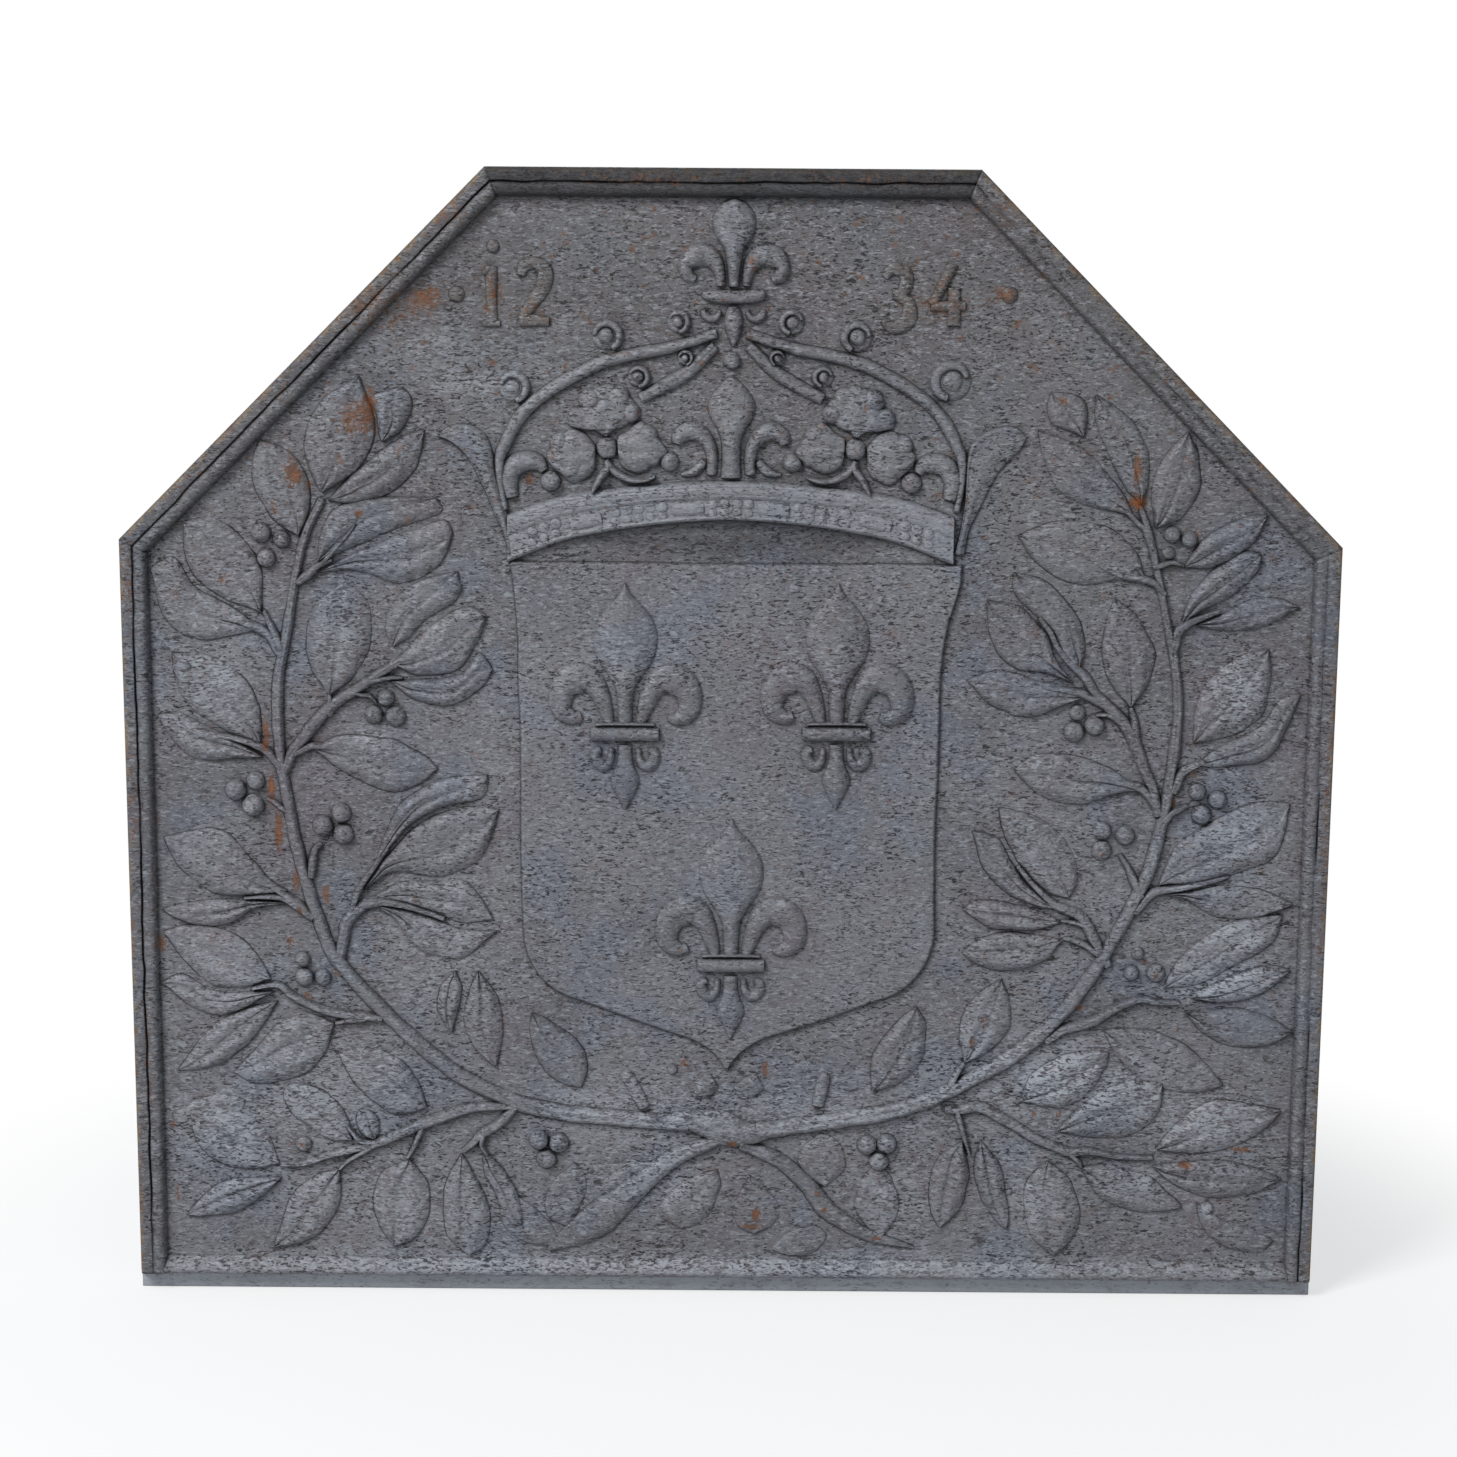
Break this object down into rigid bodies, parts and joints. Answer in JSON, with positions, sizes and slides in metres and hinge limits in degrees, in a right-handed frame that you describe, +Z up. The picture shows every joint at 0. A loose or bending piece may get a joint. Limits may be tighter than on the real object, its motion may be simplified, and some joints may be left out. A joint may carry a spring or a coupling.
{
  "type": "fireback",
  "caption": "Cast-iron fireback: a plate with clipped top corners, a moulded border and a crowned shield with lilies between laurel branches; stands on its lower edge at the back of a hearth",
  "frame": {"origin": "middle of the foot strip's flat underside, on the hearth floor", "axes": "+Z up, +X along the width to the right as seen from the carved front, carved front faces -Y, flat back faces +Y"},
  "size_m": [0.78, 0.0295, 0.738],
  "materials": {
    "iron_ground": "sand-cast grey iron, pitted, worn blacking with rust specks",
    "iron_foot": "sand-cast grey iron, smoother, plain, rust smudges",
    "iron_border": "sand-cast grey iron, worn ochre and rust-brown outer edge",
    "iron_shield": "sand-cast grey iron, finely pitted",
    "iron_crown": "sand-cast grey iron, rubbed lighter on the carved tops",
    "iron_stems": "sand-cast grey iron, rubbed lighter on the carved tops",
    "iron_leaves": "sand-cast grey iron, rubbed tops, rust in the hollows"
  },
  "bodies": {
    "root": {"back_plate": "iron_ground", "foot_strip": "iron_foot", "rim_top": "iron_border", "rim_slope_left": "iron_border", "rim_slope_right": "iron_border", "rim_side_left": "iron_border", "rim_side_right": "iron_border", "rim_sill": "iron_border", "shield_field": "iron_shield", "shield_horn_left": "iron_shield", "shield_horn_right": "iron_shield", "shield_lily_left": "iron_shield", "shield_lily_right": "iron_shield", "shield_lily_bottom": "iron_shield", "crown_circlet": "iron_crown", "crown_pearls": "iron_crown", "crown_lily_centre": "iron_crown", "crown_lily_top": "iron_crown", "crown_flower_left": "iron_crown", "crown_flower_right": "iron_crown", "crown_curl_left": "iron_crown", "crown_curl_right": "iron_crown", "crown_arch_outer": "iron_crown", "crown_arch_inner": "iron_crown", "crown_scrolls": "iron_crown", "laurel_stem_left": "iron_stems", "laurel_stem_right": "iron_stems", "laurel_twigs_left": "iron_stems", "laurel_twigs_right": "iron_stems", "leaves_left_top": "iron_leaves", "leaves_left_outer": "iron_leaves", "leaves_left_inner": "iron_leaves", "leaves_left_low": "iron_leaves", "leaves_right_top": "iron_leaves", "leaves_right_outer": "iron_leaves", "leaves_right_inner": "iron_leaves", "leaves_right_low": "iron_leaves", "berries_left": "iron_leaves", "berries_right": "iron_leaves", "knot": "iron_stems", "stem_end_left": "iron_stems", "stem_end_right": "iron_stems", "stem_stubs": "iron_stems"}
  },
  "joints": []
}
